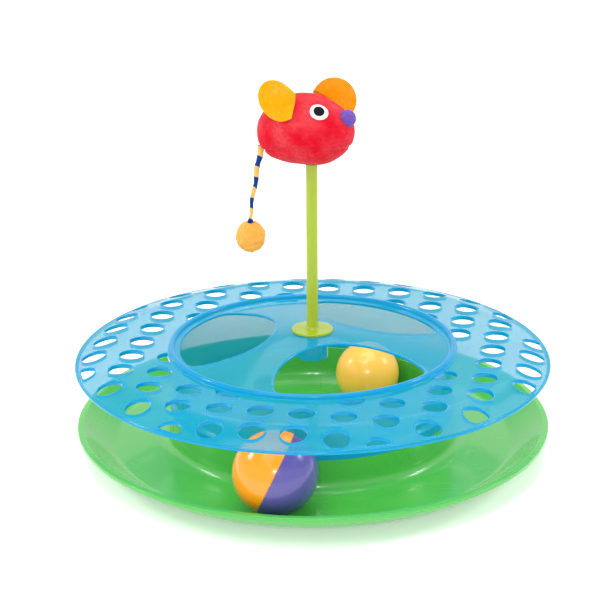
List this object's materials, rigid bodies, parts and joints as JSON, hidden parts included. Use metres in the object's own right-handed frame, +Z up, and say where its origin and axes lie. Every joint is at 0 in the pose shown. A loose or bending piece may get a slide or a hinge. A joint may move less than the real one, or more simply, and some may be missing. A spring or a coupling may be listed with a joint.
{
  "type": "cat ball track toy",
  "caption": "Round cat toy: a ball track under a perforated clear lid, a bowl with a second ball under a dome with paw openings, and a stuffed mouse on a post.",
  "frame": {"origin": "middle of the base, on the surface that its foot pads stand on", "axes": "+Z up along the post; the camera of the picture looks along +Y, with +X to its right"},
  "size_m": [0.35, 0.35, 0.2763],
  "materials": {
    "green_plastic": "smooth gloss moulding",
    "blue_clear": "clear blue gloss moulding",
    "lime_plastic": "gloss",
    "orange_plastic": "gloss",
    "purple_plastic": "gloss",
    "pad_rubber": "matt",
    "sleeve_plastic": "matt",
    "red_plush": "short pile",
    "yellow_felt": "felt",
    "orange_felt": "felt",
    "white_felt": "felt",
    "black_felt": "felt",
    "purple_felt": "satin",
    "tail_cord": "banded cord",
    "knot_blue": "cord",
    "tail_pile": "fleece"
  },
  "bodies": {
    "base": {"base_tray": "green_plastic", "ball_bowl": "green_plastic", "foot_pad_1": "pad_rubber", "foot_pad_2": "pad_rubber", "foot_pad_3": "pad_rubber", "foot_pad_4": "pad_rubber"},
    "lid": {"track_lid": "blue_clear", "lid_drum": "blue_clear", "lid_dome": "blue_clear"},
    "post": {"toy_post": "lime_plastic"},
    "mouse": {"mouse_body": "red_plush", "mouse_belly": "red_plush", "mouse_sleeve": "sleeve_plastic", "ear_near": "yellow_felt", "ear_far": "orange_felt", "eye_white_near": "white_felt", "eye_white_far": "white_felt", "pupil_near": "black_felt", "pupil_far": "black_felt", "nose": "purple_felt"},
    "tail": {"tail_cord": "tail_cord", "tail_knot": "knot_blue", "tail_ball": "tail_pile"},
    "outer_ball": {"outer_ball_orange": "orange_plastic", "outer_ball_purple": "purple_plastic"},
    "inner_ball": {"inner_ball_upper": "orange_plastic", "inner_ball_lower": "orange_plastic"}
  },
  "joints": [
    {"name": "lid_lift", "type": "slide", "parent": "base", "child": "lid", "axis": [0, 0, 1], "range_m": [0, 0.06]},
    {"name": "outer_ball_orbit", "type": "hinge", "parent": "base", "child": "outer_ball", "pos_m": [0, 0, 0.0378], "axis": [0, 0, 1], "continuous": true},
    {"name": "inner_ball_orbit", "type": "hinge", "parent": "base", "child": "inner_ball", "pos_m": [0, 0, 0.0328], "axis": [0, 0, 1], "continuous": true},
    {"name": "post_lift", "type": "slide", "parent": "lid", "child": "post", "axis": [0, 0, 1], "range_m": [0, 0.03]},
    {"name": "mouse_turn", "type": "hinge", "parent": "post", "child": "mouse", "pos_m": [0, 0, 0.23], "axis": [0, 0, 1], "continuous": true},
    {"name": "tail_swing", "type": "hinge", "parent": "mouse", "child": "tail", "pos_m": [-0.03652, 0.01041, 0.22904], "axis": [0.4226, 0.9063, 0], "range_deg": [-10, 60]}
  ]
}
